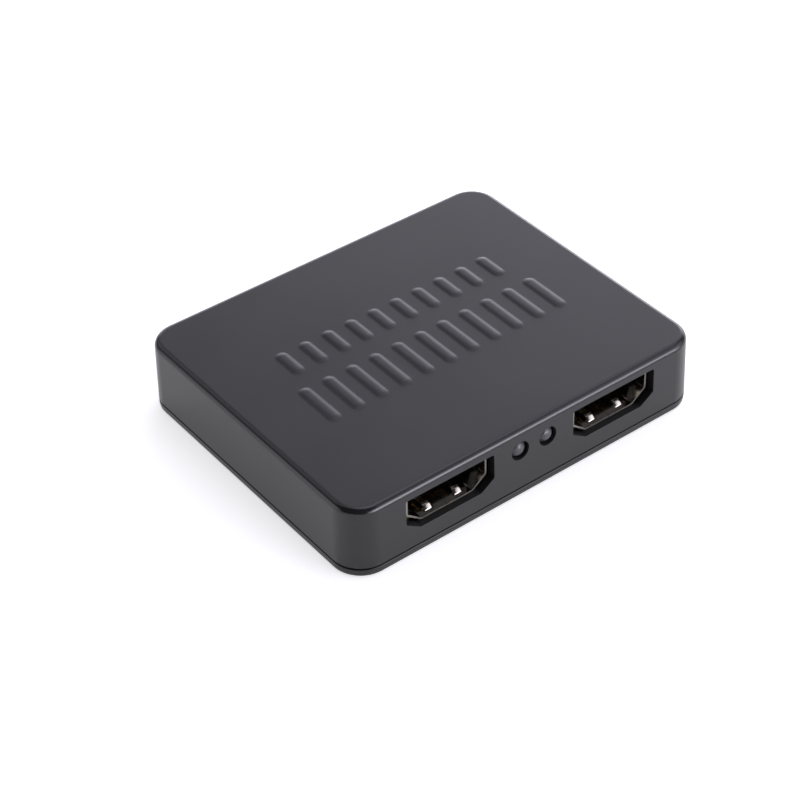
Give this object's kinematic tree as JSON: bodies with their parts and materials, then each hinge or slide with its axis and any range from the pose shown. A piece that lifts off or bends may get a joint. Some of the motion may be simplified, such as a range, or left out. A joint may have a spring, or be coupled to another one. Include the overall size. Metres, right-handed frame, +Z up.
{
  "type": "hdmi splitter",
  "caption": "Flat round-cornered plastic box that repeats a video signal from an input socket to its output sockets, with status lamps, a power socket and a circuit board inside.",
  "frame": {"origin": "centre of the underside, on the surface that the box stands on", "axes": "+X to the right along the face with the output sockets as seen from outside it, +Y from that face to the input socket's face, +Z up"},
  "size_m": [0.066, 0.054, 0.0126],
  "materials": {
    "case_plastic": "fine moulded matt",
    "screw_steel": "plated",
    "board_laminate": "black solder resist",
    "socket_steel": "nickel plated",
    "socket_moulding": "moulded",
    "contact_gold": "gold flash",
    "lamp_lens": "clear cast",
    "tinned_metal": "tinned",
    "chip_moulding": "moulded",
    "ferrite": "sintered",
    "can_aluminium": "drawn",
    "ceramic": "fired"
  },
  "bodies": {
    "root": {"top_shell": "case_plastic", "bottom_cover": "case_plastic", "case_screws": "screw_steel", "circuit_board": "board_laminate", "output_socket_1_shell": "socket_steel", "output_socket_1_insulator": "socket_moulding", "output_socket_1_contacts": "contact_gold", "output_socket_2_shell": "socket_steel", "output_socket_2_insulator": "socket_moulding", "output_socket_2_contacts": "contact_gold", "input_socket_shell": "socket_steel", "input_socket_insulator": "socket_moulding", "input_socket_contacts": "contact_gold", "power_socket_shell": "socket_steel", "power_socket_insulator": "socket_moulding", "power_socket_contacts": "contact_gold", "status_lamp_1": "lamp_lens", "status_lamp_2": "lamp_lens", "status_lamp_wires": "tinned_metal", "splitter_chip": "chip_moulding", "splitter_chip_leads": "tinned_metal", "memory_chip": "chip_moulding", "memory_chip_leads": "tinned_metal", "voltage_regulator": "chip_moulding", "voltage_regulator_leads": "tinned_metal", "inductor": "ferrite", "crystal_can": "tinned_metal", "capacitor_cans": "can_aluminium", "capacitor_bases": "chip_moulding", "surge_arrays": "chip_moulding", "chip_capacitors": "ceramic", "chip_resistors": "chip_moulding"}
  },
  "joints": []
}
